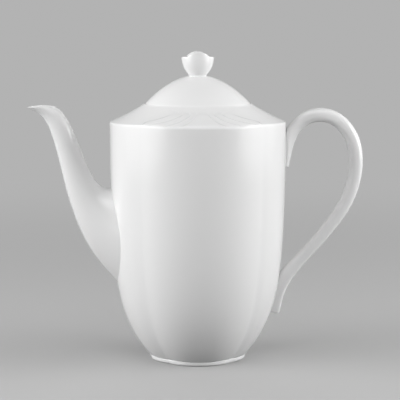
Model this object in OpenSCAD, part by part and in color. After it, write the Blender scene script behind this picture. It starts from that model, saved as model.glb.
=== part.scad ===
// Porcelain coffee pot with a lift-off lid.
// Frame: origin on the pot's axis at the table, +Z up, handle towards +X,
// spout towards -X, one fan-carved side towards -Y and its twin towards +Y.
// All sizes are in millimetres.

/* [Body] */
// Radius of the body at the middle of a lobe
belly_r = 60.2; // [50:0.1:75]
// Radius where the wall meets the foot ring
foot_r = 33.1; // [28:0.1:42]
// How quickly the wall tucks in towards the foot
tuck_h = 28.6; // [15:0.1:45]
// Thickness of the wall
wall_t = 3; // [2:0.1:5]
// Thickness of the floor
floor_t = 3.6; // [2:0.1:6]
// Radius at a crease over radius at a lobe, near the shoulder
crease_top = 0.96; // [0.9:0.001:1]
// The same ratio at the foot
crease_foot = 0.92; // [0.85:0.001:1]
// Height over which the creases soften from the foot up
crease_h = 30; // [10:1:60]

/* [Shoulder and mouth] */
// Height of the rim round the lid
rim_z = 175.4; // [150:0.1:200]
// Radius of the rim's outer edge
rim_r = 36.8; // [30:0.1:45]
// Width of the rim's flat top
rim_w = 0.7; // [0.4:0.1:3]
// Height of the rim above the shoulder
rim_step = 0.4; // [0.1:0.05:2]
// Fall of the shoulder from the rim to the corner
shoulder_drop = 11.6; // [8:0.1:20]
// How far the shoulder sags below a straight cone
shoulder_sag = 0.6; // [0:0.05:2]
// Width of the rounded corner between shoulder and wall
corner_w = 1.6; // [0.5:0.1:4]
// Depth of the recess that the lid sits in
seat_depth = 3.2; // [2:0.1:6]
// Width of the ledge that the lid rests on
ledge_w = 5.5; // [4:0.1:9]
// Thickness of that ledge
ledge_t = 3.4; // [2:0.1:6]

/* [Fan carving] */
// Height of the carved leaves above the plain shoulder
leaf_h = 1; // [0:0.05:1.5]
// Half width of the groove between two leaves, in degrees
leaf_groove = 1.5; // [0.4:0.1:2]

/* [Foot ring] */
// Height of the foot ring
foot_h = 3; // [2:0.1:6]
// How far the ring stands in from the wall
ring_inset = 0.5; // [0:0.1:3]
// Width of the foot ring
ring_w = 3.6; // [2:0.1:6]
// Size of the rounding round the ring's lower edge
ring_ease = 0.8; // [0.2:0.1:1.2]

/* [Spout] */
// Thickness of the spout's wall at the body
spout_wall = 3; // [2:0.1:5]
// Thickness of the spout's wall at the lip
lip_wall = 1.5; // [1:0.1:3]
// Rise of the lip across the spout
lip_crown = 0.8; // [0:0.1:2]
// Radius of the hole in the body behind the spout
pour_r = 9; // [5:0.5:14]
// Height of that hole
pour_z = 79; // [60:1:110]

/* [Lid] */
// Height of the lid's edge above the ledge
lid_edge_h = 3.3; // [2:0.1:6]
// Rise of the dome from the lid's edge to its middle
dome_h = 19.2; // [10:0.1:30]
// Thickness of the lid
lid_t = 3; // [2:0.1:5]
// Clearance all round between lid and recess
lid_gap = 0.4; // [0.3:0.05:1]
// Width of the lid's resting edge
lid_edge_w = 3; // [2:0.1:5]
// Clearance all round between collar and mouth
collar_gap = 0.8; // [0.3:0.05:2]
// Thickness of the collar under the lid
collar_t = 2.4; // [1.5:0.1:4]
// Depth of the collar below the ledge's top
collar_h = 8; // [4:0.5:14]

/* [Knob] */
// Depth to which the dome is flattened for the knob
knob_seat = 0.7; // [0.3:0.05:2]
// Height of the side petals' rims above that flat
knob_h = 12.8; // [8:0.1:18]
// Reach of the knob's side petals from the axis
knob_r = 11.1; // [8:0.1:14]
// How far the front and back petals arch above the side ones
knob_arch = 3.8; // [1:0.1:6]
// Rise of the petals' rims where they meet
knob_peak = 0.5; // [0:0.1:2]
// Rise of the middle of the knob's top above the side petals
knob_crown = 1.2; // [0:0.1:3]
// Depth of the knob from front to back over its width
knob_flat = 0.86; // [0.6:0.01:1]
// Radius at a crease between petals over radius at a petal
knob_crease = 0.94; // [0.8:0.01:1]

/* [Hidden] */
glaze = [0.93, 0.93, 0.92];

floor_z = foot_h + floor_t;
ring_r = foot_r - ring_inset;
edge_r = belly_r - corner_w;
seat_r = rim_r - rim_w;
mouth_r = seat_r - ledge_w;
ledge_z = rim_z - seat_depth;
collar_r = mouth_r - collar_gap;
lid_r = seat_r - lid_gap;
dome_z = ledge_z + lid_edge_h + dome_h;
knob_z = dome_z - knob_seat;
knob_side_z = knob_z + knob_h;
root2 = sqrt(2);
arch_half_w = knob_r * knob_crease / root2;
arch_rise = knob_arch - knob_peak;
arch_r = (pow(arch_half_w, 2) + pow(arch_rise, 2)) / (2 * arch_rise);

// ---- shared shapes ----

function smooth(t) = let(u = min(1, max(0, t))) u * u * (3 - 2 * u);
function mix(a, b, t) = a + (b - a) * t;
function sgn_pow(v, p) = sign(v) * pow(abs(v), p);

// outline of four equal lobes: 1 at a lobe's middle, q at a crease
function lobe(a, q) =
    let(f = a - 90 * round(a / 90), c = (1 - q * q) / (2 - root2 * q))
    c * cos(f) + sqrt(pow(1 - c, 2) - pow(c * sin(f), 2));

function wall_r(z) = belly_r - (belly_r - foot_r) * exp(-(z - foot_h) / tuck_h);
function crease(z) = crease_top - (crease_top - crease_foot) * exp(-(z - foot_h) / crease_h);

// height of the plain shoulder at radius r
function shoulder_z(r) =
    let(t = (r - rim_r) / (edge_r - rim_r))
    rim_z - rim_step - shoulder_drop * t - 4 * shoulder_sag * t * (1 - t);

function at(a, r, z) = [r * sin(a), -r * cos(a), z];

function middle(ring) =
    [for (k = [0 : 2]) [for (p = ring) p[k]] * [for (p = ring) 1] / len(ring)];

// closed solid through a stack of rings with equal numbers of points
module loft(rings) {
    n = len(rings[0]);
    m = len(rings);
    points = [for (ring = rings, p = ring) p];
    sides = [for (i = [0 : m - 2], j = [0 : n - 1])
        let(a = i * n + j, b = i * n + (j + 1) % n)
        each [[a, a + n, b + n], [a, b + n, b]]];
    low = [for (j = [0 : n - 1]) [m * n, j, (j + 1) % n]];
    high = [for (j = [0 : n - 1]) [m * n + 1, (m - 1) * n + (j + 1) % n, (m - 1) * n + j]];
    polyhedron(
        points = concat(points, [middle(rings[0]), middle(rings[m - 1])]),
        faces = concat(sides, low, high));
}

// ---- body ----

// leaf edges on the shoulder: angle from the lobe's middle at the rim, and its sweep
leaf_edges = [[4, 11], [8, 17.3], [14.5, 23.3], [24, 29]];
function leaf_at(i, s) = min(43.8 - (3 - i), leaf_edges[i][0] + leaf_edges[i][1] * s * s);

// columns of half a carved lobe, and how high the leaf stands at each
function carved_half(s) =
    let(a = leaf_at(0, s), b = leaf_at(1, s), c = leaf_at(2, s), d = leaf_at(3, s),
        e = leaf_groove * mix(0.6, 1, s))
    [0, a / 2, a - e, a, mix(a, b, 0.5), b - e, b, b + e, mix(b, c, 0.55), c - e, c,
        c + e, d - e, d, (d + 45) / 2];
leaf_rise = [1, 0.98, 0.85, 0.1, 0.8, 0.8, 0, 0.6, 0.9, 0.75, 0, 0.5, 0.65, 0, 0];
half_n = len(leaf_rise);

function plain_half(n) = [for (i = [0 : n - 1]) 45 * i / n];
function whole_lobe(half) =
    concat([-45], [for (i = [len(half) - 1 : -1 : 1]) -half[i]], half);

// angles round the pot; w says how far the columns follow the carving
function columns(s, w) =
    let(even = plain_half(half_n), cut = carved_half(s),
        fan = whole_lobe([for (i = [0 : half_n - 1]) mix(even[i], cut[i], w)]),
        side = whole_lobe(plain_half(8)))
    concat(fan, [for (a = side) a + 90], [for (a = fan) a + 180], [for (a = side) a + 270]);
rise = let(fan = concat([0], [for (i = [half_n - 1 : -1 : 1]) leaf_rise[i]], leaf_rise),
        side = [for (i = [1 : 16]) 0])
    concat(fan, side, fan, side);

// one ring of the shoulder, s = 0 at the rim and 1 at the corner;
// out and down carry the rounded corner on from there
function shoulder_ring(s, out, down) =
    let(cols = columns(s, smooth(s / 0.4)), lift = leaf_h * smooth((s - 0.15) / 0.35) * (1 - out))
    [for (j = [0 : len(cols) - 1])
        let(edge = edge_r * lobe(cols[j], crease_top), r = mix(rim_r, edge, s))
        at(cols[j], r + corner_w * out, shoulder_z(r) - down + lift * rise[j])];

// one ring of the wall; drop fades the corner's scallops and the carving's columns out
function wall_ring(z, fade) =
    let(cols = columns(1, fade))
    [for (a = cols)
        let(edge = edge_r * lobe(a, crease_top), top = shoulder_z(edge) - shoulder_z(edge_r))
        at(a, wall_r(z) * lobe(a, crease(z)), z + top * fade)];

shoulder_steps = [1, 0.93, 0.84, 0.72, 0.6, 0.48, 0.36, 0.24, 0.12, 0];
corner_z = shoulder_z(edge_r);
// levels up a wall, closer together where it tucks in
function levels(low, n) =
    [for (k = [0 : n]) low + (corner_z - 9 * corner_w - low) * pow(k / n, 1.5)];

module body_outer() {
    loft(concat(
        [for (z = levels(foot_h, 16)) wall_ring(z, 0)],
        [wall_ring(corner_z - 3.8 * corner_w, 0.6)],
        [wall_ring(corner_z - 1.75 * corner_w, 1)],
        [shoulder_ring(1, 0.86, 0.75 * corner_w), shoulder_ring(1, 0.5, 0.28 * corner_w)],
        [for (s = shoulder_steps) shoulder_ring(s, 0, 0)],
        [[for (a = columns(0, 0)) at(a, rim_r - rim_w / 2, rim_z)]]));
}

function inner_ring(r, z, q) =
    [for (a = [0 : 7.5 : 359]) at(a, r * lobe(a, q), z)];

module body_cavity() {
    top = ledge_z - ledge_t;
    loft(concat(
        [inner_ring(wall_r(floor_z) - 2 * wall_t, floor_z, crease_foot)],
        [for (z = levels(floor_z + wall_t / 2, 11)) inner_ring(wall_r(z) - wall_t, z, crease(z))],
        [inner_ring(edge_r - wall_t, corner_z - wall_t, crease_top)],
        [for (t = [0.3, 0.6])
            let(r = mix(edge_r, mouth_r, t))
            inner_ring(r, min(top, shoulder_z(r) - 1.1 * wall_t), mix(crease_top, 1, t))],
        [inner_ring(mouth_r + corner_w / 4, top, 1)]));
}

module pot_body() {
    color(glaze)
    resize([0, 0, 0])
    difference() {
        body_outer();
        body_cavity();
        translate([0, 0, ledge_z]) cylinder(h = 2 * seat_depth, r = seat_r, $fn = 96);
        translate([0, 0, ledge_z - 2 * ledge_t]) cylinder(h = 3 * ledge_t, r = mouth_r, $fn = 96);
        translate([-belly_r - wall_t, 0, pour_z])
            rotate([0, 90, 0])
            cylinder(h = belly_r, r = pour_r, $fn = 32);
    }
}

// ---- foot ring ----

module foot_band(z, h, outer, inner) {
    translate([0, 0, z])
    linear_extrude(height = h)
    difference() {
        polygon([for (a = [0 : 7.5 : 359])
            let(p = at(a, outer * lobe(a, crease_foot), 0)) [p[0], p[1]]]);
        polygon([for (a = [0 : 7.5 : 359])
            let(p = at(a, inner * lobe(a, crease_foot), 0)) [p[0], p[1]]]);
    }
}

// bands from the table up: height of the lower edge and inset, as shares of ring_ease
ring_bands = [[0, 0.9], [0.3, 0.35], [1, 0]];

module foot_ring() {
    color(glaze)
    union() {
        for (k = [0 : len(ring_bands) - 1]) {
            low = ring_bands[k][0] * ring_ease;
            high = k < len(ring_bands) - 1 ? ring_bands[k + 1][0] * ring_ease : foot_h;
            inset = ring_bands[k][1] * ring_ease;
            foot_band(low, high - low, ring_r - inset, ring_r - ring_w + inset);
        }
    }
}

// ---- spout ----

// reach and height of the lower edge, then of the upper one, half width, narrowing of the
// beak; reach is measured out from the body's wall at the same height
spout_stations = [
    [-8.4, 44, -9.7, 118.5, 25, 0],
    [-0.9, 52.2, 0.4, 117.9, 20.5, 0],
    [5.9, 61.2, 4.6, 118.4, 17.8, 0],
    [14.1, 73, 8.6, 121.5, 15, 0],
    [19.6, 84.2, 11.7, 126.2, 13, 0],
    [23.9, 95.4, 14.4, 132, 11.5, 0],
    [27.3, 106.6, 16.8, 138, 10.4, 0],
    [30.3, 117.7, 19.2, 144.4, 9.5, 0],
    [32.6, 128.8, 21.5, 150.6, 8.8, 0],
    [35.1, 139.9, 23.6, 156.1, 8.3, 0],
    [37.9, 151, 26, 161, 7.9, 0],
    [40.9, 160.2, 28.5, 165.4, 7.6, 0.04],
    [44.7, 166.6, 30.8, 169, 7.3, 0.12],
    [49.3, 170.4, 33, 171.6, 7, 0.24],
    [55.5, 173.1, 35.4, 173.1, 6.7, 0.36]];

function curve(p0, p1, p2, p3, t) =
    0.5 * (2 * p1 + (p2 - p0) * t + (2 * p0 - 5 * p1 + 4 * p2 - p3) * t * t
        + (3 * p1 - p0 - 3 * p2 + p3) * t * t * t);
function refine(list) =
    let(n = len(list) - 1)
    [for (i = [0 : 2 * n])
        let(k = min(n - 1, floor(i / 2)), t = i / 2 - k)
        curve(list[max(0, k - 1)], list[k], list[k + 1], list[min(n, k + 2)], t)];

spout_n = 24;
// ring across the spout, t inside its outer skin, the flanks drawn up to a soft ridge
function spout_ring(s, t, crown) =
    let(low = -wall_r(s[1]) - s[0], high = -wall_r(s[3]) - s[2],
        mx = (low + high) / 2, mz = (s[1] + s[3]) / 2,
        hx = (low - high) / 2, hz = (s[1] - s[3]) / 2,
        k = 1 - t / norm([hx, hz]), b = s[4] - t)
    [for (j = [0 : spout_n - 1])
        let(a = 360 * j / spout_n, narrow = 1 - s[5] * pow(max(0, cos(a)), 2))
        [mx + hx * k * cos(a),
            -b * sin(a) * (1 - 0.07 * abs(cos(a))) * narrow,
            mz + hz * k * cos(a) + crown * pow(sin(a), 2)]];

module spout_outer() {
    fine = refine(spout_stations);
    n = len(fine) - 1;
    loft([for (i = [0 : n]) spout_ring(fine[i], 0, lip_crown * smooth((i - n + 3) / 3))]);
}

module spout_channel() {
    n = len(spout_stations) - 1;
    lip = spout_stations[n];
    loft(concat(
        [for (i = [0 : n])
            spout_ring(spout_stations[i], mix(spout_wall, lip_wall, smooth(i / n * 1.2)), 0)],
        [spout_ring(lip, lip_wall, 2 * lip_crown)]));
}

module spout() {
    color(glaze)
    resize([0, 0, 0])
    difference() {
        spout_outer();
        spout_channel();
        body_outer();
    }
}

// ---- handle ----

// reach and height of the outer edge, then of the inner one, half width, depth of the flute
// along each flank; reach is measured out from the body's wall at the same height
handle_stations = [
    [-2, 132.8, 2.1, 131, 6.2, 0.6],
    [-2, 137, 3.3, 135.6, 6.9, 0.6],
    [-2, 144, 4.4, 141.6, 7.3, 0.6],
    [-1.6, 151.5, 5.5, 146, 7.4, 0.6],
    [0.2, 158.6, 6.6, 149.2, 7.3, 0.6],
    [3.2, 161.6, 8.1, 152.6, 7, 0.5],
    [7.5, 166.2, 10, 155.4, 6.7, 0.4],
    [11.5, 169.1, 12.9, 158.4, 6.5, 0.3],
    [17, 171.4, 16.2, 160.8, 6.4, 0.2],
    [22.8, 172.2, 19.6, 162.2, 6.3, 0.1],
    [29.2, 171.7, 23.4, 162.6, 6.3, 0],
    [35.8, 169.3, 27.9, 162.1, 6.3, 0],
    [41.8, 165.1, 33.1, 159.8, 6.3, 0],
    [46.9, 159.2, 37.8, 155.2, 6.3, 0],
    [50.5, 152.5, 41.2, 149.8, 6.3, 0],
    [52.7, 145.4, 43.1, 144.1, 6.3, 0],
    [53.5, 137.6, 43.9, 137.6, 6.3, 0],
    [53.5, 130, 44.1, 130.5, 6.3, 0],
    [52.2, 120.8, 43, 122.8, 6.3, 0],
    [49.7, 112.1, 40.8, 115, 6.3, 0],
    [46.1, 103.8, 37.7, 107.2, 6.3, 0],
    [41, 95.4, 33.2, 99.6, 6.3, 0],
    [34.9, 87, 27.8, 91.8, 6.3, 0],
    [28.2, 78.6, 21.4, 83.6, 6.3, 0.1],
    [20.9, 70.2, 14.8, 75.6, 6.4, 0.2],
    [14.1, 61.7, 8.2, 67.8, 6.6, 0.4],
    [9.6, 54.6, 2.3, 61.5, 6.8, 0.6],
    [6.8, 47.8, -2, 56, 6.8, 0.6],
    [5.9, 40.8, -3.9, 47, 5.8, 0.6],
    [6.3, 34.6, -3.4, 38.5, 4.6, 0.5],
    [6.8, 29.8, -1.8, 31.9, 3.8, 0.4]];

handle_n = 20;
function handle_ring(s) =
    let(outer = wall_r(s[1]) + s[0], inner = wall_r(s[3]) + s[2],
        mx = (outer + inner) / 2, mz = (s[1] + s[3]) / 2,
        hx = (outer - inner) / 2, hz = (s[1] - s[3]) / 2)
    [for (j = [0 : handle_n - 1])
        let(a = 360 * (j + 0.5) / handle_n, u = sgn_pow(cos(a), 0.8),
            v = (s[4] - s[5] * pow(sin(a), 8)) * sgn_pow(sin(a), 0.75))
        [mx + hx * u, -v, mz + hz * u]];

module handle() {
    color(glaze)
    resize([0, 0, 0])
    difference() {
        loft([for (s = handle_stations) handle_ring(s)]);
        body_outer();
    }
}

// ---- lid ----

// outline under the dome, sunk by a depth
module under_dome(sink) {
    reach = lid_r + lid_t;
    n = 14;
    rim = [for (k = [0 : n])
        let(r = reach * k / n)
        [r, dome_z - sink - dome_h * pow(r / lid_r, 2)]];
    polygon(concat([[0, 0]], rim, [[reach, 0]]));
}

module lid() {
    color(glaze)
    rotate_extrude($fn = 180)
    difference() {
        intersection() {
            under_dome(0);
            translate([0, ledge_z]) square([lid_r, knob_z - ledge_z]);
        }
        intersection() {
            under_dome(lid_t);
            square([lid_r - lid_edge_w, knob_z]);
        }
    }
}

module lid_collar() {
    color(glaze)
    rotate_extrude($fn = 180)
    intersection() {
        under_dome(lid_t);
        translate([collar_r - collar_t, ledge_z - collar_h]) square([collar_t, knob_z - ledge_z]);
    }
}

// ---- knob ----

// [share of the height from stand to rim, radius over knob_r]
knob_steps = [[0, 0.54], [0.05, 0.555], [0.11, 0.61], [0.2, 0.695], [0.32, 0.79],
    [0.5, 0.89], [0.68, 0.95], [0.85, 0.985], [1, 1]];

// height of the petal rims round the knob
function petal_z(a) =
    let(f = abs(a - 180 * round(a / 180)), x = knob_r * lobe(f, knob_crease) * sin(f))
    knob_side_z + (f < 45
        ? knob_arch - arch_r + sqrt(pow(arch_r, 2) - x * x)
        : knob_peak * smooth(1 - (f - 45) / 45));

function knob_ring(r, share, sink) =
    [for (a = [0 : 7.5 : 359])
        let(q = mix(1, knob_crease, smooth(share)), p = at(a, r * lobe(a, q), 0))
        [p[0], p[1] * mix(1, knob_flat, smooth(share)),
            mix(knob_z, mix(petal_z(a), knob_side_z + knob_crown, sink), share)]];

module knob() {
    color(glaze)
    loft(concat(
        [for (k = knob_steps) knob_ring(knob_r * k[1], k[0], 0)],
        [knob_ring(knob_r * 0.93, 1, -0.06)],
        [knob_ring(knob_r * 0.72, 1, 0.25)],
        [knob_ring(knob_r * 0.36, 1, 0.75)]));
}

pot_body();
foot_ring();
spout();
handle();
lid();
lid_collar();
knob();
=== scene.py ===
import math

import bmesh
import bpy
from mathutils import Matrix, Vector


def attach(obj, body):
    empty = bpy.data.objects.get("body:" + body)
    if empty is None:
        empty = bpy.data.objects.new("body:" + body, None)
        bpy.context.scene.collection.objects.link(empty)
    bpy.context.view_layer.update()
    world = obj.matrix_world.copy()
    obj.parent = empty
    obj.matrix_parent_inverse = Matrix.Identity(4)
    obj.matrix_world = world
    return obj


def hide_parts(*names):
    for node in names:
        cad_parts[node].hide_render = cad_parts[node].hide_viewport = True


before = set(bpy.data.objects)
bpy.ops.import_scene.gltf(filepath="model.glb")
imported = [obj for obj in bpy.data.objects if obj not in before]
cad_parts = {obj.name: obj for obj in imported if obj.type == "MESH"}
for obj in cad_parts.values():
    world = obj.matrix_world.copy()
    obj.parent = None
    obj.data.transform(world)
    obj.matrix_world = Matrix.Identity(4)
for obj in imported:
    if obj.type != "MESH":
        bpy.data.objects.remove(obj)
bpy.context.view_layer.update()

# White glazed porcelain coffee pot. Lengths in the shaping code are millimetres on the
# pot's own axis: +Z up, handle to +X, spout to -X, carved sides to -Y and +Y.
MM = 0.001

# ---- camera, in metres ----

CAMERA_TURN = math.radians(-4.0)
CAMERA_REACH = 1.2
CAMERA_HEIGHT = 0.255
CAMERA_DIP = math.radians(6.926)
CAMERA_SIDESTEP = 0.0015
LENS = 159.0
SENSOR_W = 36.0


def set_camera():
    out = Vector((math.sin(CAMERA_TURN), -math.cos(CAMERA_TURN), 0))
    right = Vector((math.cos(CAMERA_TURN), math.sin(CAMERA_TURN), 0))
    data = bpy.data.cameras.new("camera")
    data.lens = LENS
    data.sensor_width = SENSOR_W
    camera = bpy.data.objects.new("camera", data)
    bpy.context.collection.objects.link(camera)
    camera.location = out * CAMERA_REACH + right * CAMERA_SIDESTEP + Vector((0, 0, CAMERA_HEIGHT))
    look = -out * math.cos(CAMERA_DIP) - Vector((0, 0, math.sin(CAMERA_DIP)))
    camera.rotation_euler = look.to_track_quat("-Z", "Y").to_euler()
    bpy.context.scene.camera = camera


set_camera()

# ---- the pot's sizes ----

# body: radius of its lobes at the belly and at the foot, and how fast it tucks in
BELLY_R = 60.2
FOOT_R = 33.1
TUCK_H = 28.6
WALL = 3.0
FLOOR = 3.6
# radius in a crease as a share of the lobe's, and how fast creases deepen towards the foot
CREASE_TOP = 0.96
CREASE_FOOT = 0.92
CREASE_H = 30.0
# rim, and the shoulder that slopes and sags from it to the corner
RIM_Z = 175.4
RIM_R = 36.8
RIM_W = 0.7
RIM_STEP = 0.4
SHOULDER_DROP = 11.6
SHOULDER_SAG = 0.6
CORNER_W = 1.1
# seat of the lid: a ledge sunk below the rim
SEAT_DEPTH = 3.2
LEDGE_W = 5.5
LEDGE_T = 3.4
# carved leaves: height, and width of the groove along their edges in degrees
LEAF_H = 1.25
LEAF_GROOVE = 1.5
FOOT_H = 3.0
RING_INSET = 0.5
RING_W = 3.6
# spout, and the round hole that feeds it
SPOUT_WALL = 3.0
LIP_WALL = 1.5
LIP_CROWN = 0.8
POUR_R = 9.0
POUR_Z = 79.0
LID_EDGE_H = 3.3
DOME_H = 19.2
LID_T = 3.0
LID_GAP = 0.4
LID_EDGE_W = 3.0
COLLAR_GAP = 0.8
COLLAR_T = 2.4
COLLAR_H = 8.0
# knob: arched petals front and back, peaked ones at the sides, a hollow with a low crown
KNOB_SEAT = 0.7
KNOB_H = 12.8
KNOB_R = 11.1
KNOB_ARCH = 3.8
KNOB_PEAK = 0.5
KNOB_CROWN = 1.2
KNOB_FLAT = 0.86
KNOB_CREASE = 0.94

EDGE_R = BELLY_R - CORNER_W
SEAT_R = RIM_R - RIM_W
MOUTH_R = SEAT_R - LEDGE_W
LEDGE_Z = RIM_Z - SEAT_DEPTH
RING_R = FOOT_R - RING_INSET
LID_R = SEAT_R - LID_GAP
COLLAR_R = MOUTH_R - COLLAR_GAP
DOME_Z = LEDGE_Z + LID_EDGE_H + DOME_H
KNOB_Z = DOME_Z - KNOB_SEAT
KNOB_SIDE_Z = KNOB_Z + KNOB_H
ARCH_HALF_W = KNOB_R * KNOB_CREASE / math.sqrt(2)
ARCH_RISE = KNOB_ARCH - KNOB_PEAK
ARCH_R = (ARCH_HALF_W ** 2 + ARCH_RISE ** 2) / (2 * ARCH_RISE)

# half of the angle that one of the four lobes takes up
HALF_LOBE = 45


def clamp(t):
    return min(1.0, max(0.0, t))


def smooth(t):
    """Ease from 0 to 1 as t goes from 0 to 1."""
    t = clamp(t)
    return t * t * (3 - 2 * t)


def mix(a, b, t):
    return a + (b - a) * t


def rounded(value, power):
    """A sine or cosine raised to a power, sign kept: below 1 it makes an oval squarer."""
    return math.copysign(abs(value) ** power, value)


def lobe(angle, crease):
    """Outline of four equal lobes: 1 at a lobe's middle, crease where two lobes meet."""
    f = math.radians(angle - 90 * round(angle / 90))
    c = (1 - crease * crease) / (2 - math.sqrt(2) * crease)
    return c * math.cos(f) + math.sqrt((1 - c) ** 2 - (c * math.sin(f)) ** 2)


def wall_radius(z):
    return BELLY_R - (BELLY_R - FOOT_R) * math.exp(-(z - FOOT_H) / TUCK_H)


def crease_at(z):
    return CREASE_TOP - (CREASE_TOP - CREASE_FOOT) * math.exp(-(z - FOOT_H) / CREASE_H)


def shoulder_height(r):
    """Height of the plain slope, which sags by SHOULDER_SAG halfway down."""
    t = (r - RIM_R) / (EDGE_R - RIM_R)
    return RIM_Z - RIM_STEP - SHOULDER_DROP * t - 4 * SHOULDER_SAG * t * (1 - t)


def place(angle, r, z):
    a = math.radians(angle)
    return Vector((r * math.sin(a), -r * math.cos(a), z))


# ---- making a piece by pulling a ring up through its stations ----

START_R = 0.01


def set_ring(mesh, ring):
    """Move the selected ring of an open edit mesh to its station."""
    work = bmesh.from_edit_mesh(mesh)
    column = work.verts.layers.int["column"]
    for v in work.verts:
        if v.select:
            v.co = ring[v[column]] * MM
    bmesh.update_edit_mesh(mesh)


def pull_rings(name, rings, joined=False):
    """One circle, extruded from ring to ring; both ends closed, or joined to each other."""
    bpy.ops.object.select_all(action="DESELECT")
    bpy.ops.mesh.primitive_circle_add(vertices=len(rings[0]), radius=START_R)
    piece = bpy.context.object
    piece.name = piece.data.name = name
    bpy.ops.object.mode_set(mode="EDIT")
    bpy.ops.mesh.select_mode(type="VERT")
    bpy.ops.mesh.select_all(action="SELECT")
    work = bmesh.from_edit_mesh(piece.data)
    column = work.verts.layers.int.new("column")
    for v in work.verts:
        v[column] = v.index
    bmesh.update_edit_mesh(piece.data)
    set_ring(piece.data, rings[0])
    for ring in rings[1:]:
        bpy.ops.mesh.extrude_region_move()
        set_ring(piece.data, ring)
    if joined:
        bpy.ops.mesh.select_all(action="DESELECT")
        bpy.ops.mesh.select_non_manifold()
        bpy.ops.mesh.bridge_edge_loops()
    else:
        bpy.ops.mesh.extrude_region_move()
        bpy.ops.mesh.merge(type="CENTER")
        bpy.ops.mesh.select_all(action="DESELECT")
        bpy.ops.mesh.select_non_manifold()
        bpy.ops.mesh.extrude_region_move()
        bpy.ops.mesh.merge(type="CENTER")
    bpy.ops.mesh.select_all(action="SELECT")
    bpy.ops.mesh.normals_make_consistent(inside=False)
    bpy.ops.object.mode_set(mode="OBJECT")
    piece.location = (0, 0, 0)
    return piece


def apply_modifier(piece, modifier):
    bpy.ops.object.select_all(action="DESELECT")
    piece.select_set(True)
    bpy.context.view_layer.objects.active = piece
    bpy.ops.object.modifier_apply(modifier=modifier.name)


def soften(piece, levels=2):
    """Subdivide the piece and shade it smooth, as slip-cast clay under glaze."""
    rounding = piece.modifiers.new("rounding", "SUBSURF")
    rounding.levels = rounding.render_levels = levels
    apply_modifier(piece, rounding)
    bpy.ops.object.shade_smooth()
    return piece


# ---- body ----

# leaf edges on the shoulder: angle from the lobe's middle at the rim, and its sweep from
# there to the corner; no edge comes nearer to the crease than FAN_END and FAN_STEP allow
LEAF_EDGES = ((4, 11), (8, 17.3), (14.5, 23.3), (24, 29))
FAN_END = 43.8
FAN_STEP = 1.0
# share of the groove's width that is left at the rim, and place of the broad leaf's crest
GROOVE_AT_RIM = 0.6
BROAD_CREST = 0.55
# height of each carved column, from the lobe's middle outwards, as a share of LEAF_H
LEAF_RISE = (1, 0.98, 0.85, 0.1, 0.8, 0.8, 0, 0.6, 0.9, 0.75, 0, 0.5, 0.65, 0, 0)
FAN_HALF = len(LEAF_RISE)
SIDE_HALF = 8
# down the slope, as shares of it: where leaves start to rise and over what length they do,
# and by where the columns have gathered into the fan
LEAF_START = 0.15
LEAF_GROWTH = 0.35
FAN_GATHERED = 0.4

# rings of the body, from under its foot over the wall and the rim to the inside
UNDER_RADII = (8, 20, 30)
UNDER_INSET = 0.5
WALL_START = 0.15
WALL_HEIGHTS = (4.2, 6, 8.5, 11, 14, 18, 23, 28, 34, 41, 49, 58, 68, 80, 94, 110, 128, 144)
# below the corner: depth, and how far the ring already follows the leaves' ends
CORNER_APPROACH = ((7, 0.55), (3, 0.9))
# the corner's round, in shares of CORNER_W: its lowest ring, then how far out and down
CORNER_DEPTH = 1.45
CORNER_ROUND = ((0.86, 0.75), (0.5, 0.28), (0.15, 0.05))
SLOPE_SHARES = (0.97, 0.91, 0.83, 0.74, 0.65, 0.56, 0.47, 0.38, 0.29, 0.2, 0.1, 0.02)
# roundings of the rim's outer and inner edge, of the seat's corner and of the ledge
RIM_SOFT = 0.25
RIM_EDGE = 0.2
SEAT_EDGE = 0.15
RIM_DIP = 0.03
SEAT_SOFT = 0.3
LEDGE_SOFT = 0.5
# inside, under the shoulder: radius and crease of each ring, and extra clay for the carving
VAULT = ((42, 0.98), (50, 0.97))
VAULT_EXTRA = 0.4
INSIDE_HEIGHTS = (154, 130, 100, 74, 56, 42, 31, 22, 15, 9.5)
# the floor's round into the wall, and its flat rings
FLOOR_ROUND = 3
FLOOR_RISE = 0.2
FLOOR_MIDDLE = ((20, 0.97), (8, 1.0))


def carved_half(s):
    """Angles of the carved columns of half a lobe, s of the way down the shoulder."""
    a, b, c, d = (min(FAN_END - FAN_STEP * (3 - i), start + sweep * s * s)
                  for i, (start, sweep) in enumerate(LEAF_EDGES))
    e = LEAF_GROOVE * mix(GROOVE_AT_RIM, 1, s)
    return [0, a / 2, a - e, a, mix(a, b, 0.5), b - e, b, b + e, mix(b, c, BROAD_CREST), c - e, c,
            c + e, d - e, d, (d + HALF_LOBE) / 2]


def whole_lobe(half):
    return [-HALF_LOBE] + [-v for v in reversed(half[1:])] + list(half)


def columns(s, follow):
    """Angles round the pot; follow says how far the columns keep to the carved leaves."""
    even = [HALF_LOBE * i / FAN_HALF for i in range(FAN_HALF)]
    fan = whole_lobe([mix(e, c, follow) for e, c in zip(even, carved_half(s))])
    side = whole_lobe([HALF_LOBE * i / SIDE_HALF for i in range(SIDE_HALF)])
    return [a + turn for turn, part in ((0, fan), (90, side), (180, fan), (270, side))
            for a in part]


FAN_RISE = [0] + list(reversed(LEAF_RISE[1:])) + list(LEAF_RISE)
RISE = (FAN_RISE + [0] * 2 * SIDE_HALF) * 2


def shoulder_ring(s, out, down):
    """Ring s of the way down the shoulder, pushed out and down where the corner rounds off."""
    lift = LEAF_H * smooth((s - LEAF_START) / LEAF_GROWTH) * (1 - out)
    ring = []
    for angle, rise in zip(columns(s, smooth(s / FAN_GATHERED)), RISE):
        r = mix(RIM_R, EDGE_R * lobe(angle, CREASE_TOP), s)
        ring.append(place(angle, r + CORNER_W * out, shoulder_height(r) - down + lift * rise))
    return ring


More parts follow.
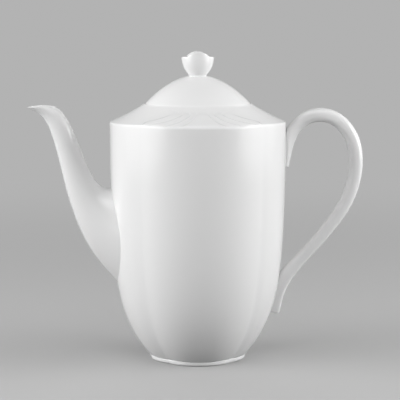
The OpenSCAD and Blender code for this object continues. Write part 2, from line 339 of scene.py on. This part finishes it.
def wall_ring(z, fade):
    """Ring of the wall; fade says how far it rises with the scalloped edge above it."""
    ring = []
    for angle in columns(1, fade):
        edge = EDGE_R * lobe(angle, CREASE_TOP)
        scallop = shoulder_height(edge) - shoulder_height(EDGE_R)
        ring.append(place(angle, wall_radius(z) * lobe(angle, crease_at(z)), z + scallop * fade))
    return ring


def plain_ring(r, z, crease=1.0):
    return [place(a, r * lobe(a, crease), z) for a in columns(0, 0)]


def outer_rings(corner_z):
    under = [plain_ring(r, FOOT_H, CREASE_FOOT) for r in (*UNDER_RADII, FOOT_R - UNDER_INSET)]
    wall = [wall_ring(z, 0) for z in (FOOT_H + WALL_START, *WALL_HEIGHTS)]
    corner = [wall_ring(corner_z - depth, fade) for depth, fade in CORNER_APPROACH]
    corner.append(wall_ring(corner_z - CORNER_DEPTH * CORNER_W, 1))
    corner += [shoulder_ring(1, out, down * CORNER_W) for out, down in CORNER_ROUND]
    shoulder = [shoulder_ring(s, 0, 0) for s in SLOPE_SHARES]
    return under + wall + corner + shoulder


def rim_rings(top):
    """Over the rim, down to the ledge that carries the lid, and round the ledge's edge."""
    return [plain_ring(RIM_R, RIM_Z - RIM_SOFT),
            plain_ring(RIM_R - RIM_EDGE, RIM_Z - RIM_DIP),
            plain_ring(SEAT_R + SEAT_EDGE, RIM_Z - RIM_DIP),
            plain_ring(SEAT_R, RIM_Z - RIM_SOFT),
            plain_ring(SEAT_R, LEDGE_Z + SEAT_SOFT),
            plain_ring(SEAT_R - SEAT_SOFT, LEDGE_Z),
            plain_ring(MOUTH_R + LEDGE_SOFT, LEDGE_Z),
            plain_ring(MOUTH_R, LEDGE_Z - LEDGE_SOFT),
            plain_ring(MOUTH_R, top + LEDGE_SOFT),
            plain_ring(MOUTH_R + LEDGE_SOFT, top)]


def inner_rings(corner_z, top):
    floor = FOOT_H + FLOOR
    rings = [plain_ring(r, min(top, shoulder_height(r) - WALL - VAULT_EXTRA), crease)
             for r, crease in VAULT]
    rings.append(plain_ring(EDGE_R - WALL, corner_z - WALL, CREASE_TOP))
    rings += [plain_ring(wall_radius(z) - WALL, z, crease_at(z)) for z in INSIDE_HEIGHTS]
    rings.append(plain_ring(wall_radius(floor) - WALL - FLOOR_ROUND, floor + FLOOR_RISE, CREASE_FOOT))
    rings += [plain_ring(r, floor, crease) for r, crease in FLOOR_MIDDLE]
    return rings


def body_rings():
    corner_z = shoulder_height(EDGE_R)
    top = LEDGE_Z - LEDGE_T
    return outer_rings(corner_z) + rim_rings(top) + inner_rings(corner_z, top)


DRILL_X = -58
DRILL_LENGTH = 30


def pierce_for_spout(body):
    """The hole that lets coffee into the spout, cut through the wall behind it."""
    bpy.ops.object.select_all(action="DESELECT")
    bpy.ops.mesh.primitive_cylinder_add(vertices=48, radius=POUR_R * MM, depth=DRILL_LENGTH * MM,
                                        location=(DRILL_X * MM, 0, POUR_Z * MM),
                                        rotation=(0, math.pi / 2, 0))
    drill = bpy.context.object
    hole = body.modifiers.new("hole", "BOOLEAN")
    hole.operation = "DIFFERENCE"
    hole.object = drill
    apply_modifier(body, hole)
    bpy.data.objects.remove(drill)


# ---- spout ----

# reach and height of the lower edge, then of the upper one, half width, narrowing of the
# beak; reach is measured out from the body's wall at the same height
SPOUT_STATIONS = (
    (-8.4, 44, -9.7, 118.5, 25, 0),
    (-0.9, 52.2, 0.4, 117.9, 20.5, 0),
    (5.9, 61.2, 4.6, 118.4, 17.8, 0),
    (14.1, 73, 8.6, 121.5, 15, 0),
    (19.6, 84.2, 11.7, 126.2, 13, 0),
    (23.9, 95.4, 14.4, 132, 11.5, 0),
    (27.3, 106.6, 16.8, 138, 10.4, 0),
    (30.3, 117.7, 19.2, 144.4, 9.5, 0),
    (32.6, 128.8, 21.5, 150.6, 8.8, 0),
    (35.1, 139.9, 23.6, 156.1, 8.3, 0),
    (37.9, 151, 26, 161, 7.9, 0),
    (40.9, 160.2, 28.5, 165.4, 7.6, 0.04),
    (44.7, 166.6, 30.8, 169, 7.3, 0.12),
    (49.3, 170.4, 33, 171.6, 7, 0.24),
    (55.5, 173.1, 35.4, 173.1, 6.7, 0.36))
SPOUT_N = 32
# flanks: how square they are, and how much narrower they get towards the lower edge; then how
# much the plain oval of the root and the lip narrows off its middle
SPOUT_FLAT = 0.82
SPOUT_LEAN = 0.08
SPOUT_PINCH = 0.07
# over how many stations the flanks flatten and turn oval again, and the lip's crown rises
FLANK_STATIONS = 4
CROWN_STATIONS = 1.5
# the lip's round: inset and sink of each ring
LIP_ROUND = ((0.35, -0.35), (1.0, -0.4), (LIP_WALL, 0.1))
# how early the wall has thinned to the lip's; 1 would be at the lip itself
WALL_TAPER = 1.2


def spout_ring(station, inset, crown=0.0, sink=0.0, flat=0.0):
    """Ring across the spout, inset from its outer skin; flat tells how flat its flanks are."""
    low, z0, high, z1, half, beak = station
    x0 = -wall_radius(z0) - low
    x1 = -wall_radius(z1) - high
    mid = Vector(((x0 + x1) / 2, 0, (z0 + z1) / 2 - sink))
    arm = Vector(((x0 - x1) / 2, 0, (z0 - z1) / 2))
    arm *= 1 - inset / arm.length
    ring = []
    for j in range(SPOUT_N):
        a = 2 * math.pi * j / SPOUT_N
        narrow = 1 - beak * max(0, math.cos(a)) ** 2
        oval = math.sin(a) * (1 - SPOUT_PINCH * abs(math.cos(a)))
        flank = rounded(math.sin(a), SPOUT_FLAT) * (1 - SPOUT_LEAN * (1 + math.cos(a)) / 2)
        side = (half - inset) * mix(oval, flank, flat) * narrow
        ring.append(mid + arm * math.cos(a) + Vector((0, side, crown * math.sin(a) ** 2)))
    return ring


def flattening(i, last):
    """How far the flanks are flattened at a station: not at all at the root and the lip."""
    leave = (i - last + FLANK_STATIONS) / FLANK_STATIONS
    return smooth(i / FLANK_STATIONS) * (1 - smooth(leave))


def spout_rings():
    last = len(SPOUT_STATIONS) - 1
    tip = SPOUT_STATIONS[-1]
    outer = [spout_ring(s, 0, LIP_CROWN * smooth((i - last + CROWN_STATIONS) / CROWN_STATIONS),
                        flat=flattening(i, last))
             for i, s in enumerate(SPOUT_STATIONS)]
    lip = [spout_ring(tip, inset, LIP_CROWN, sink) for inset, sink in LIP_ROUND]
    inner = [spout_ring(s, mix(SPOUT_WALL, LIP_WALL, smooth(i / last * WALL_TAPER)))
             for i, s in enumerate(SPOUT_STATIONS)]
    return outer + lip + list(reversed(inner[1:-1]))


# ---- handle ----

# reach and height of the outer edge, then of the inner one, half width, depth of the flute
# along each flank; reach is measured out from the body's wall at the same height
HANDLE_STATIONS = (
    (-2, 132.8, 2.1, 131, 6.2, 0.6),
    (-2, 133.2, 2.3, 131.4, 6.4, 0.6),
    (-2, 137, 3.3, 135.6, 6.9, 0.6),
    (-2, 144, 4.4, 141.6, 7.3, 0.6),
    (-1.6, 151.5, 5.5, 146, 7.4, 0.6),
    (0.2, 158.6, 6.6, 149.2, 7.3, 0.6),
    (3.2, 161.6, 8.1, 152.6, 7, 0.5),
    (7.5, 166.2, 10, 155.4, 6.7, 0.4),
    (11.5, 169.1, 12.9, 158.4, 6.5, 0.3),
    (17, 171.4, 16.2, 160.8, 6.4, 0.2),
    (22.8, 172.2, 19.6, 162.2, 6.3, 0.1),
    (29.2, 171.7, 23.4, 162.6, 6.3, 0),
    (35.8, 169.3, 27.9, 162.1, 6.3, 0),
    (41.8, 165.1, 33.1, 159.8, 6.3, 0),
    (46.9, 159.2, 37.8, 155.2, 6.3, 0),
    (50.5, 152.5, 41.2, 149.8, 6.3, 0),
    (52.7, 145.4, 43.1, 144.1, 6.3, 0),
    (53.5, 137.6, 43.9, 137.6, 6.3, 0),
    (53.5, 130, 44.1, 130.5, 6.3, 0),
    (52.2, 120.8, 43, 122.8, 6.3, 0),
    (49.7, 112.1, 40.8, 115, 6.3, 0),
    (46.1, 103.8, 37.7, 107.2, 6.3, 0),
    (41, 95.4, 33.2, 99.6, 6.3, 0),
    (34.9, 87, 27.8, 91.8, 6.3, 0),
    (28.2, 78.6, 21.4, 83.6, 6.3, 0.1),
    (20.9, 70.2, 14.8, 75.6, 6.4, 0.2),
    (14.1, 61.7, 8.2, 67.8, 6.6, 0.4),
    (9.6, 54.6, 2.3, 61.5, 6.8, 0.6),
    (6.8, 47.8, -2, 56, 6.8, 0.6),
    (5.9, 40.8, -3.9, 47, 5.8, 0.6),
    (6.3, 34.6, -3.4, 38.5, 4.6, 0.5),
    (6.8, 30.3, -2, 32.5, 4, 0.4),
    (6.7, 29.9, -1.8, 31.9, 3.8, 0.4))
HANDLE_N = 40
# how square the section is, from edge to edge and from flank to flank, and how narrow the
# flutes are
EDGE_ROUND = 0.8
FLANK_ROUND = 0.75
FLUTE_SHARP = 8
# the blade at the handle's upper end: the stations from which it forms and where it is full,
# how much thinner its finger side is, and its groove's depth, place and width; places across
# the section run from -1 at the finger side to 1 at the outer edge
BLADE_FROM = 12
BLADE_FULL = 7
BLADE_THIN = 0.55
BLADE_GROOVE = 0.45
GROOVE_PLACE = -0.5
GROOVE_W = 0.16
# the narrow neck by which the blade stands on the wall: the stations from which it forms and
# where it is full, how much it takes off each flank, how far out it goes, and its soft edge
NECK_FROM = 5
NECK_FULL = 3
NECK_DEPTH = 1.2
NECK_REACH = 1.0
NECK_EDGE = 0.4


def handle_ring(i, station):
    outer, z0, inner, z1, half, flute = station
    x0 = wall_radius(z0) + outer
    x1 = wall_radius(z1) + inner
    mid = Vector(((x0 + x1) / 2, 0, (z0 + z1) / 2))
    arm = Vector(((x0 - x1) / 2, 0, (z0 - z1) / 2))
    blade = smooth((BLADE_FROM - i) / (BLADE_FROM - BLADE_FULL))
    neck = NECK_DEPTH * smooth((NECK_FROM - i) / (NECK_FROM - NECK_FULL))
    ring = []
    for j in range(HANDLE_N):
        a = 2 * math.pi * (j + 0.5) / HANDLE_N
        t = rounded(math.cos(a), EDGE_ROUND)
        reach = mix(inner, outer, (1 + t) / 2)
        flank = half * (1 - BLADE_THIN * blade * (1 - t) / 2)
        flank -= flute * (1 - blade) * math.sin(a) ** FLUTE_SHARP
        flank -= BLADE_GROOVE * blade * math.exp(-((t - GROOVE_PLACE) / GROOVE_W) ** 2)
        flank -= neck * smooth((NECK_REACH - reach) / NECK_EDGE)
        side = flank * rounded(math.sin(a), FLANK_ROUND)
        ring.append(mid + arm * t + Vector((0, side, 0)))
    return ring


def handle_rings():
    return [handle_ring(i, station) for i, station in enumerate(HANDLE_STATIONS)]


# ---- lid and its collar ----

ROUND_N = 96
CROWN_RADII = (3, 6.6)
DOME_RADII = (7.6, 12, 17, 22, 26, 30, 33)
DOME_INSET = 0.5
# roundings of the lid's edge: how far off the edge, and how far up, each ring lies
LID_EDGE_TOP = ((0.08, -0.15), (0, -0.8))
LID_EDGE_FOOT = ((0, 0.6), (0.4, 0))
LID_EDGE_INNER = ((0.3, 0), (0, 0.4))
LID_INNER_DIP = 0.2
LID_INNER_RADII = (31.8, 28, 22, 15, 8, 3)
# the collar reaches into the lid, and its lower edge is rounded: off the wall, and up
COLLAR_BITE = 0.3
COLLAR_BAND = 1
COLLAR_FOOT_OUT = ((0, 1), (0.3, 0.2), (1, 0))
COLLAR_FOOT_IN = ((0.8, 0), (0.2, 0.3), (0, 1.2))


def round_ring(r, z):
    return [place(360 * i / ROUND_N, r, z) for i in range(ROUND_N)]


def dome_height(r, below=0.0):
    return DOME_Z - below - DOME_H * (r / LID_R) ** 2


def lid_rings():
    edge_top = dome_height(LID_R)
    inner_r = LID_R - LID_EDGE_W
    inner_top = dome_height(inner_r, LID_T)
    crown = [round_ring(r, KNOB_Z) for r in CROWN_RADII]
    outside = [round_ring(r, dome_height(r)) for r in (*DOME_RADII, LID_R - DOME_INSET)]
    edge = [round_ring(LID_R - off, edge_top + up) for off, up in LID_EDGE_TOP]
    edge += [round_ring(LID_R - off, LEDGE_Z + up) for off, up in LID_EDGE_FOOT]
    edge += [round_ring(inner_r + off, LEDGE_Z + up) for off, up in LID_EDGE_INNER]
    inside = [round_ring(inner_r, inner_top - LID_INNER_DIP)]
    inside += [round_ring(r, dome_height(r, LID_T)) for r in LID_INNER_RADII]
    return crown + outside + edge + inside


def collar_rings():
    low = LEDGE_Z - COLLAR_H
    inner = COLLAR_R - COLLAR_T
    band = LEDGE_Z - COLLAR_BAND
    outside = [round_ring(COLLAR_R, dome_height(COLLAR_R, LID_T) + COLLAR_BITE),
               round_ring(COLLAR_R, band)]
    foot = [round_ring(COLLAR_R - off, low + up) for off, up in COLLAR_FOOT_OUT]
    foot += [round_ring(inner + off, low + up) for off, up in COLLAR_FOOT_IN]
    inside = [round_ring(inner, band), round_ring(inner, dome_height(inner, LID_T) + COLLAR_BITE)]
    return outside + foot + inside


# ---- knob ----

# outline from its seat up: share of the knob's height, and of its radius
KNOB_STEPS = ((-0.04, 0.54), (0, 0.54), (0.05, 0.555), (0.11, 0.61), (0.2, 0.695), (0.32, 0.79),
              (0.5, 0.89), (0.68, 0.95), (0.85, 0.985), (0.97, 1), (1, 0.985))
# over its top: share of the radius, and how far the petals have sunk to the crown
KNOB_TOP = ((0.93, 0), (0.8, 0.12), (0.6, 0.4), (0.38, 0.7), (0.15, 0.8))
KNOB_N = 72


def petal_height(angle):
    """Height of the knob's edge: an arch front and back, and a small peak at each side."""
    f = abs(angle - 180 * round(angle / 180))
    if f < HALF_LOBE:
        x = KNOB_R * lobe(f, KNOB_CREASE) * math.sin(math.radians(f))
        return KNOB_SIDE_Z + KNOB_ARCH - ARCH_R + math.sqrt(ARCH_R ** 2 - x * x)
    return KNOB_SIDE_Z + KNOB_PEAK * smooth(1 - (f - HALF_LOBE) / HALF_LOBE)


def knob_ring(r, share, sink=0.0):
    ring = []
    for i in range(KNOB_N):
        angle = 360 * i / KNOB_N
        point = place(angle, r * lobe(angle, mix(1, KNOB_CREASE, smooth(share))), 0)
        point.y *= mix(1, KNOB_FLAT, smooth(share))
        point.z = mix(KNOB_Z, mix(petal_height(angle), KNOB_SIDE_Z + KNOB_CROWN, sink), share)
        ring.append(point)
    return ring


def knob_rings():
    sides = [knob_ring(KNOB_R * r, share) for share, r in KNOB_STEPS]
    top = [knob_ring(KNOB_R * r, 1, sink) for r, sink in KNOB_TOP]
    return sides + top


# ---- foot ring ----

# the ring reaches into the body, stands straight below it and is rounded: off the wall,
# and height above the table
RING_BITE = 0.4
RING_BAND = 0.5
RING_FOOT_OUT = ((0, 1.4), (0.15, 0.75), (0.5, 0.25), (1.1, 0.02), (1.8, 0))
RING_FOOT_IN = ((0.9, 0.05), (0.3, 0.5), (0, 1.2))


def lobed_ring(r, z):
    angles = [360 * i / ROUND_N for i in range(ROUND_N)]
    return [place(a, r * lobe(a, CREASE_FOOT), z) for a in angles]


def foot_rings():
    inner = RING_R - RING_W
    bands = (FOOT_H + RING_BITE, FOOT_H - RING_BAND)
    outside = [lobed_ring(RING_R, z) for z in bands]
    foot = [lobed_ring(RING_R - off, z) for off, z in RING_FOOT_OUT]
    foot += [lobed_ring(inner + off, z) for off, z in RING_FOOT_IN]
    inside = [lobed_ring(inner, z) for z in reversed(bands)]
    return outside + foot + inside


# ---- glaze ----

GLAZE_WHITE = (0.8, 0.8, 0.8, 1)
# darker, cooler colour for the hollows: partly the tint of thicker glaze, partly painted shade in
# creases and grooves
GLAZE_POOLED_AND_SHADE = (0.7, 0.72, 0.73, 1)
GLAZE_IOR = 1.5
# pointiness of a flat surface, and that of a hollow filled with glaze, where shade is also painted in
FLAT_POINTINESS = 0.5
HOLLOW_POINTINESS = 0.42
# the slow ripple of run glaze and its fine orange-peel
RIPPLE_SCALE = 45
RIPPLE_STRENGTH = 0.12
RIPPLE_HEIGHT = 0.0006
PEEL_SCALE = 700
PEEL_STRENGTH = 0.05
PEEL_HEIGHT = 0.00004
ROUGHNESS_FROM = 0.06
ROUGHNESS_TO = 0.13


def socket(group, name, kind, in_out, value=None):
    item = group.interface.new_socket(name=name, in_out=in_out, socket_type=kind)
    if value is not None:
        item.default_value = value


def noise_node(nodes, scale, detail):
    noise = nodes.new("ShaderNodeTexNoise")
    noise.inputs["Scale"].default_value = scale
    noise.inputs["Detail"].default_value = detail
    return noise


def bump_node(nodes, strength, distance):
    bump = nodes.new("ShaderNodeBump")
    bump.inputs["Strength"].default_value = strength
    bump.inputs["Distance"].default_value = distance
    return bump


def fired_glaze_group():
    """Colour, roughness and surface ripple of a clear glaze over white porcelain; the colour is
    darker in hollows, partly from thicker glaze and partly as painted shade.
    """
    group = bpy.data.node_groups.new("fired_glaze", "ShaderNodeTree")
    socket(group, "White", "NodeSocketColor", "INPUT", GLAZE_WHITE)
    socket(group, "Pooled and shade", "NodeSocketColor", "INPUT", GLAZE_POOLED_AND_SHADE)
    socket(group, "Pointiness", "NodeSocketFloat", "INPUT", FLAT_POINTINESS)
    socket(group, "Color", "NodeSocketColor", "OUTPUT")
    socket(group, "Roughness", "NodeSocketFloat", "OUTPUT")
    socket(group, "Normal", "NodeSocketVector", "OUTPUT")
    nodes, links = group.nodes, group.links
    given = nodes.new("NodeGroupInput")
    result = nodes.new("NodeGroupOutput")
    where = nodes.new("ShaderNodeTexCoord")
    slow = noise_node(nodes, RIPPLE_SCALE, 2)
    fine = noise_node(nodes, PEEL_SCALE, 3)
    for noise in (slow, fine):
        links.new(where.outputs["Object"], noise.inputs["Vector"])
    # glaze runs off edges and gathers in hollows, where it looks deeper; the darker colour there is
    # also painted shade
    pool_and_shade = nodes.new("ShaderNodeMapRange")
    pool_and_shade.inputs["From Min"].default_value = FLAT_POINTINESS
    pool_and_shade.inputs["From Max"].default_value = HOLLOW_POINTINESS
    links.new(given.outputs["Pointiness"], pool_and_shade.inputs["Value"])
    tint = nodes.new("ShaderNodeMix")
    tint.data_type = "RGBA"
    links.new(pool_and_shade.outputs["Result"], tint.inputs["Factor"])
    links.new(given.outputs["White"], tint.inputs["A"])
    links.new(given.outputs["Pooled and shade"], tint.inputs["B"])
    links.new(tint.outputs["Result"], result.inputs["Color"])
    gloss = nodes.new("ShaderNodeMapRange")
    gloss.inputs["To Min"].default_value = ROUGHNESS_FROM
    gloss.inputs["To Max"].default_value = ROUGHNESS_TO
    links.new(slow.outputs["Fac"], gloss.inputs["Value"])
    links.new(gloss.outputs["Result"], result.inputs["Roughness"])
    ripple = bump_node(nodes, RIPPLE_STRENGTH, RIPPLE_HEIGHT)
    links.new(slow.outputs["Fac"], ripple.inputs["Height"])
    peel = bump_node(nodes, PEEL_STRENGTH, PEEL_HEIGHT)
    links.new(fine.outputs["Fac"], peel.inputs["Height"])
    links.new(ripple.outputs["Normal"], peel.inputs["Normal"])
    links.new(peel.outputs["Normal"], result.inputs["Normal"])
    return group


def white_glaze(group):
    material = bpy.data.materials.new("white_glaze")
    material.use_nodes = True
    nodes, links = material.node_tree.nodes, material.node_tree.links
    shader = nodes["Principled BSDF"]
    shader.inputs["IOR"].default_value = GLAZE_IOR
    surface = nodes.new("ShaderNodeGroup")
    surface.node_tree = group
    shape = nodes.new("ShaderNodeNewGeometry")
    # painted shade: the hollows' pointiness darkens the base colour, along with the thicker glaze's
    # tint
    links.new(shape.outputs["Pointiness"], surface.inputs["Pointiness"])
    links.new(surface.outputs["Color"], shader.inputs["Base Color"])
    links.new(surface.outputs["Roughness"], shader.inputs["Roughness"])
    links.new(surface.outputs["Normal"], shader.inputs["Normal"])
    return material


# ---- the pieces ----


def dress(piece, body, node, material):
    """Give a finished piece its glaze and its body, and hide the CAD node that it stands for."""
    piece.data.materials.clear()
    piece.data.materials.append(material)
    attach(piece, body)
    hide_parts(node)


def make_pot(glaze):
    shell = soften(pull_rings("glazed_body", body_rings()))
    pierce_for_spout(shell)
    dress(shell, "pot", "pot_body", glaze)
    ring = soften(pull_rings("glazed_foot_ring", foot_rings(), joined=True), 1)
    dress(ring, "pot", "foot_ring", glaze)
    spout = soften(pull_rings("glazed_spout", spout_rings(), joined=True))
    dress(spout, "pot", "spout", glaze)
    handle = soften(pull_rings("glazed_handle", handle_rings()))
    dress(handle, "pot", "handle", glaze)


def make_lid(glaze):
    lid = soften(pull_rings("glazed_lid", lid_rings()), 1)
    dress(lid, "lid", "lid", glaze)
    collar = soften(pull_rings("glazed_lid_collar", collar_rings(), joined=True), 1)
    dress(collar, "lid", "lid_collar", glaze)
    knob = soften(pull_rings("glazed_knob", knob_rings()))
    dress(knob, "lid", "knob", glaze)


pot_glaze = white_glaze(fired_glaze_group())
make_pot(pot_glaze)
make_lid(pot_glaze)

# ---- floor and light, in metres ----

BACKDROP = (0.45, 0.45, 0.45, 1)
# the floor as it is seen, and as it throws light back up at the pot
FLOOR_TONE = (0.46, 0.46, 0.46, 1)
FLOOR_GLOW = (0.1, 0.1, 0.1, 1)
FLOOR_R = 8
FLOOR_ROUGHNESS = 0.9
# distance from the pot over which the floor turns into the backdrop
FADE_FROM = 0.15
FADE_TO = 1.1
# softboxes: where they stand, what they point at, width and height, power in watts
SIDE_REACH = 1.1
SIDE_Y = -0.35
SIDE_Z = 0.42
SIDE_SIZE = (2.4, 1.1)
SIDE_POWER = 60
TOP_PLACE = (0, -0.9, 1.3)
TOP_TARGET = (0, 0, 0.1)
TOP_SIZE = (1.8, 1.2)
TOP_POWER = 18
BACK_PLACE = (0, 1.6, 0.6)
BACK_TARGET = (0, 0, 0.12)
BACK_SIZE = (2.4, 1.2)
BACK_POWER = 16
# a softbox's light fades from near its middle to its edge, in shares of its size
GLOW_MIDDLE = 0.05
GLOW_EDGE = 0.5
ROOM_STRENGTH = 0.27


def seen_or_mirrored(nodes, links):
    """1 for what the camera sees, straight or mirrored in a surface, and 0 for other light."""
    path = nodes.new("ShaderNodeLightPath")
    mirrored = nodes.new("ShaderNodeMath")
    mirrored.operation = "MAXIMUM"
    links.new(path.outputs["Is Glossy Ray"], mirrored.inputs[0])
    links.new(path.outputs["Is Transmission Ray"], mirrored.inputs[1])
    either = nodes.new("ShaderNodeMath")
    either.operation = "MAXIMUM"
    links.new(path.outputs["Is Camera Ray"], either.inputs[0])
    links.new(mirrored.outputs["Value"], either.inputs[1])
    return either.outputs["Value"]


def lay_floor():
    """Pale floor that throws little light up at the pot and fades into the backdrop."""
    bpy.ops.object.select_all(action="DESELECT")
    bpy.ops.mesh.primitive_circle_add(vertices=96, radius=FLOOR_R, fill_type="NGON",
                                      location=(0, 0, 0))
    floor = bpy.context.object
    floor.name = "floor"
    material = bpy.data.materials.new("pale_floor")
    material.use_nodes = True
    nodes, links = material.node_tree.nodes, material.node_tree.links
    shader = nodes["Principled BSDF"]
    shader.inputs["Roughness"].default_value = FLOOR_ROUGHNESS
    seen = seen_or_mirrored(nodes, links)
    tone = nodes.new("ShaderNodeMix")
    tone.data_type = "RGBA"
    tone.inputs["A"].default_value = FLOOR_GLOW
    tone.inputs["B"].default_value = FLOOR_TONE
    links.new(seen, tone.inputs["Factor"])
    links.new(tone.outputs["Result"], shader.inputs["Base Color"])
    backdrop = nodes.new("ShaderNodeEmission")
    backdrop.inputs["Color"].default_value = BACKDROP
    where = nodes.new("ShaderNodeTexCoord")
    distance = nodes.new("ShaderNodeVectorMath")
    distance.operation = "LENGTH"
    links.new(where.outputs["Object"], distance.inputs[0])
    fade = nodes.new("ShaderNodeMapRange")
    fade.interpolation_type = "SMOOTHSTEP"
    fade.inputs["From Min"].default_value = FADE_FROM
    fade.inputs["From Max"].default_value = FADE_TO
    links.new(distance.outputs["Value"], fade.inputs["Value"])
    share = nodes.new("ShaderNodeMath")
    share.operation = "MULTIPLY"
    links.new(fade.outputs["Result"], share.inputs[0])
    links.new(seen, share.inputs[1])
    mixed = nodes.new("ShaderNodeMixShader")
    links.new(share.outputs["Value"], mixed.inputs["Fac"])
    links.new(shader.outputs["BSDF"], mixed.inputs[1])
    links.new(backdrop.outputs["Emission"], mixed.inputs[2])
    links.new(mixed.outputs["Shader"], nodes["Material Output"].inputs["Surface"])
    floor.data.materials.append(material)


def fade_edges(data):
    """Dim a lamp towards its edges, as the cloth of a softbox does."""
    data.use_nodes = True
    nodes, links = data.node_tree.nodes, data.node_tree.links
    where = nodes.new("ShaderNodeNewGeometry")
    centred = nodes.new("ShaderNodeVectorMath")
    centred.operation = "MULTIPLY_ADD"
    centred.inputs[1].default_value = (1, 1, 0)
    centred.inputs[2].default_value = (-0.5, -0.5, 0)
    links.new(where.outputs["Parametric"], centred.inputs[0])
    off_centre = nodes.new("ShaderNodeVectorMath")
    off_centre.operation = "LENGTH"
    links.new(centred.outputs["Vector"], off_centre.inputs[0])
    fade = nodes.new("ShaderNodeMapRange")
    fade.interpolation_type = "SMOOTHSTEP"
    fade.inputs["From Min"].default_value = GLOW_EDGE
    fade.inputs["From Max"].default_value = GLOW_MIDDLE
    links.new(off_centre.outputs["Value"], fade.inputs["Value"])
    links.new(fade.outputs["Result"], nodes["Emission"].inputs["Strength"])


def softbox(name, stand, target, size, power, mirrored=True):
    """Soft-edged lamp; one that isn't mirrored lights the glaze but doesn't show in it."""
    data = bpy.data.lights.new(name, "AREA")
    data.shape = "RECTANGLE"
    data.size, data.size_y = size
    data.energy = power
    fade_edges(data)
    lamp = bpy.data.objects.new(name, data)
    bpy.context.collection.objects.link(lamp)
    lamp.visible_glossy = mirrored
    lamp.location = stand
    aim = Vector(target) - Vector(stand)
    lamp.rotation_euler = aim.to_track_quat("-Z", "Y").to_euler()


def light_room():
    """A wide softbox on each side of the pot, weak ones above and behind it, and a dim room."""
    for name, side in (("softbox_left", -1), ("softbox_right", 1)):
        stand = (side * SIDE_REACH, SIDE_Y, SIDE_Z)
        softbox(name, stand, (0, SIDE_Y, SIDE_Z), SIDE_SIZE, SIDE_POWER)
    softbox("softbox_top", TOP_PLACE, TOP_TARGET, TOP_SIZE, TOP_POWER)
    softbox("softbox_back", BACK_PLACE, BACK_TARGET, BACK_SIZE, BACK_POWER, mirrored=False)
    world = bpy.data.worlds.new("room")
    bpy.context.scene.world = world
    world.use_nodes = True
    nodes, links = world.node_tree.nodes, world.node_tree.links
    room = nodes["Background"]
    room.inputs["Color"].default_value = (1, 1, 1, 1)
    room.inputs["Strength"].default_value = ROOM_STRENGTH
    backdrop = nodes.new("ShaderNodeBackground")
    backdrop.inputs["Color"].default_value = BACKDROP
    mixed = nodes.new("ShaderNodeMixShader")
    links.new(seen_or_mirrored(nodes, links), mixed.inputs["Fac"])
    links.new(room.outputs["Background"], mixed.inputs[1])
    links.new(backdrop.outputs["Background"], mixed.inputs[2])
    links.new(mixed.outputs["Shader"], nodes["World Output"].inputs["Surface"])


lay_floor()
light_room()
bpy.context.scene.view_settings.view_transform = "Standard"
